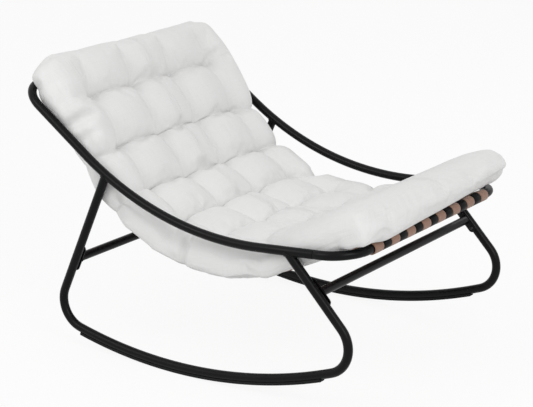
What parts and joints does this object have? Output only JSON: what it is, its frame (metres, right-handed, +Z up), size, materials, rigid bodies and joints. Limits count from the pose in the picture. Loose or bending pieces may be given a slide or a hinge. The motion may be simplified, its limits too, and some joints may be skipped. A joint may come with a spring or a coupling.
{
  "type": "rocking chair",
  "caption": "Low outdoor rocking chair: bent steel tube frame on curved rockers, webbing straps slung between its head bar and foot bar, and a loose tufted cushion.",
  "frame": {"origin": "on the floor, under the middle of the chair's box in length and width", "axes": "+X towards the foot end, +Y to the sitter's left, +Z up"},
  "size_m": [1.1588, 0.835, 0.8238],
  "materials": {
    "steel_tube": "satin",
    "screw": "satin",
    "floor_strip": "matte",
    "webbing": "matte",
    "sleeve": "satin",
    "cushion_cloth": "matte"
  },
  "bodies": {
    "frame": {"side_rail_left": "steel_tube", "side_rail_right": "steel_tube", "head_bar": "steel_tube", "foot_bar": "steel_tube", "rocker_left": "steel_tube", "rocker_right": "steel_tube", "rear_crossbar": "steel_tube", "front_crossbar": "steel_tube", "rear_plate_left": "steel_tube", "rear_plate_right": "steel_tube", "front_plate_left": "steel_tube", "front_plate_right": "steel_tube", "rear_screw_left_1": "screw", "rear_screw_left_2": "screw", "rear_screw_right_1": "screw", "rear_screw_right_2": "screw", "front_screw_left_1": "screw", "front_screw_left_2": "screw", "front_screw_right_1": "screw", "front_screw_right_2": "screw", "runner_left": "floor_strip", "runner_right": "floor_strip", "strap_1": "webbing", "strap_2": "webbing", "strap_3": "webbing", "strap_4": "webbing", "strap_5": "webbing", "strap_6": "webbing", "strap_7": "webbing", "strap_8": "webbing", "foot_sleeve_1": "sleeve", "foot_sleeve_2": "sleeve", "foot_sleeve_3": "sleeve", "foot_sleeve_4": "sleeve", "foot_sleeve_5": "sleeve", "foot_sleeve_6": "sleeve", "foot_sleeve_7": "sleeve", "head_sleeve_1": "sleeve", "head_sleeve_2": "sleeve", "head_sleeve_3": "sleeve", "head_sleeve_4": "sleeve", "head_sleeve_5": "sleeve", "head_sleeve_6": "sleeve", "head_sleeve_7": "sleeve"},
    "cushion": {"cushion": "cushion_cloth"}
  },
  "joints": [
    {"name": "cushion_lift", "type": "slide", "parent": "frame", "child": "cushion", "axis": [0, 0, 1], "range_m": [0, 0.5]}
  ]
}
